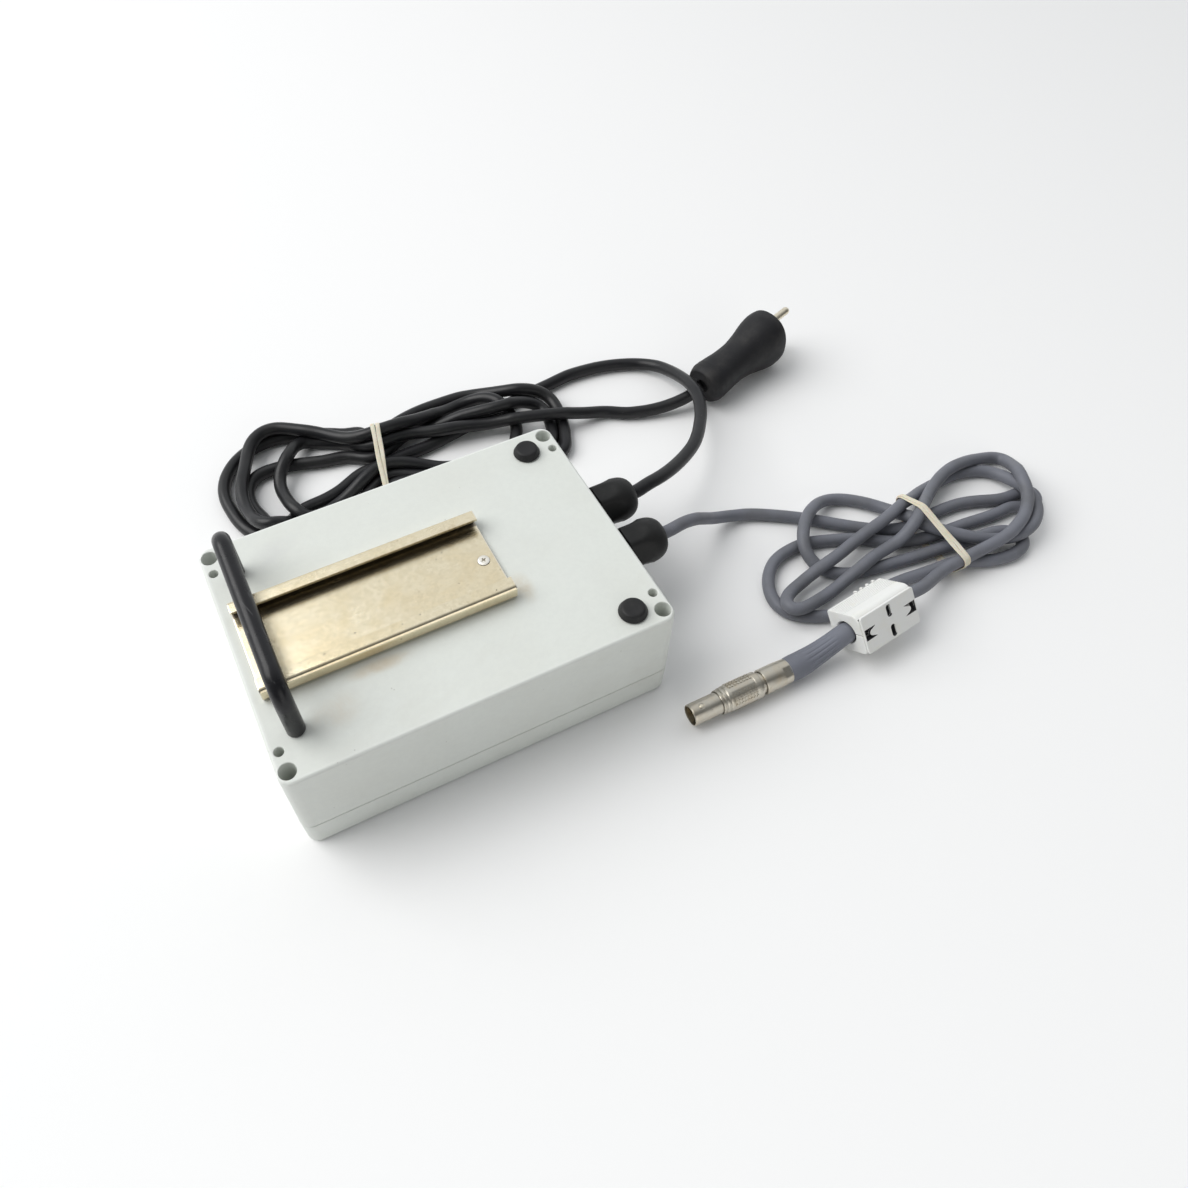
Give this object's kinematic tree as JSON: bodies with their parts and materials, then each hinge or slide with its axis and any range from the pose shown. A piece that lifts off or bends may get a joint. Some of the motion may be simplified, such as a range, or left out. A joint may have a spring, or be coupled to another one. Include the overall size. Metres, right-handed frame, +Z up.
{
  "type": "data collector",
  "caption": "Survey data collector: sealed box lying on its lid, with mounting rail, bar handle and rubber feet, a mains lead with plug and a data lead with ferrite and connector.",
  "frame": {"origin": "centre of the lid's outer face, which is the face that the box lies on", "axes": "+X along the box towards the wall with the cable glands, +Y across the box to the side of the mains hank, +Z up out of the base, towards the rail and the handle"},
  "size_m": [0.4263, 0.285, 0.0961],
  "materials": {
    "case_plastic": "satin moulded, fine grain",
    "grey_gasket": "matt",
    "bright_steel": "bright zinc plate",
    "brass": "turned",
    "passivated_zinc": "yellow passivated zinc plate",
    "black_coating": "gloss black",
    "black_rubber": "satin",
    "black_nylon": "satin",
    "black_cord": "satin",
    "grey_cord": "satin",
    "band_rubber": "matt",
    "white_plastic": "satin",
    "ferrite_core": "matt ceramic",
    "satin_nickel": "satin nickel plate",
    "contact_insert": "satin",
    "circuit_board": "solder resist",
    "terminal_green": "satin",
    "component_black": "satin",
    "transformer_core": "potted, satin"
  },
  "bodies": {
    "root": {"base_shell": "case_plastic", "board_screw_1": "bright_steel", "board_screw_2": "bright_steel", "carry_handle": "black_coating", "circuit_board": "circuit_board", "connector_boot": "grey_cord", "connector_collet_nut": "satin_nickel", "connector_insert": "contact_insert", "connector_shell": "satin_nickel", "data_band": "band_rubber", "data_cord_end": "grey_cord", "data_cord_hank": "grey_cord", "data_cord_lead": "grey_cord", "data_gland_body": "black_nylon", "data_gland_cap": "black_nylon", "data_gland_locknut": "black_nylon", "data_gland_seal": "black_rubber", "data_inner_lead": "grey_cord", "data_terminal_block": "terminal_green", "ferrite_case_lower": "white_plastic", "ferrite_core_lower": "ferrite_core", "fuse_holder": "component_black", "handle_screw_1": "bright_steel", "handle_screw_2": "bright_steel", "lid": "case_plastic", "lid_gasket": "grey_gasket", "lid_insert_1": "brass", "lid_insert_2": "brass", "lid_insert_3": "brass", "lid_insert_4": "brass", "lid_screw_1": "bright_steel", "lid_screw_2": "bright_steel", "lid_screw_3": "bright_steel", "lid_screw_4": "bright_steel", "mains_band": "band_rubber", "mains_cord_hank": "black_cord", "mains_cord_lead": "black_cord", "mains_cord_plug_run": "black_cord", "mains_gland_body": "black_nylon", "mains_gland_cap": "black_nylon", "mains_gland_locknut": "black_nylon", "mains_gland_seal": "black_rubber", "mains_inner_lead": "black_cord", "mains_terminal_block": "terminal_green", "mains_transformer": "transformer_core", "mounting_rail": "passivated_zinc", "plug_body": "black_rubber", "plug_pin_1": "satin_nickel", "plug_pin_2": "satin_nickel", "rail_nut_1": "bright_steel", "rail_nut_2": "bright_steel", "rail_screw_1": "bright_steel", "rail_screw_2": "bright_steel", "rubber_foot_1": "black_rubber", "rubber_foot_2": "black_rubber", "smoothing_capacitor": "component_black"},
    "ferrite_cover": {"ferrite_case_upper": "white_plastic", "ferrite_core_upper": "ferrite_core"},
    "release_sleeve": {"connector_release_sleeve": "satin_nickel"}
  },
  "joints": [
    {"name": "ferrite_hinge", "type": "hinge", "parent": "root", "child": "ferrite_cover", "pos_m": [0.19497, -0.07509, 0.00764], "axis": [-0.9925, -0.1219, 0], "range_deg": [0, 50]},
    {"name": "sleeve_slide", "type": "slide", "parent": "root", "child": "release_sleeve", "axis": [1, 0, 0], "range_m": [0, 0.0015]}
  ]
}
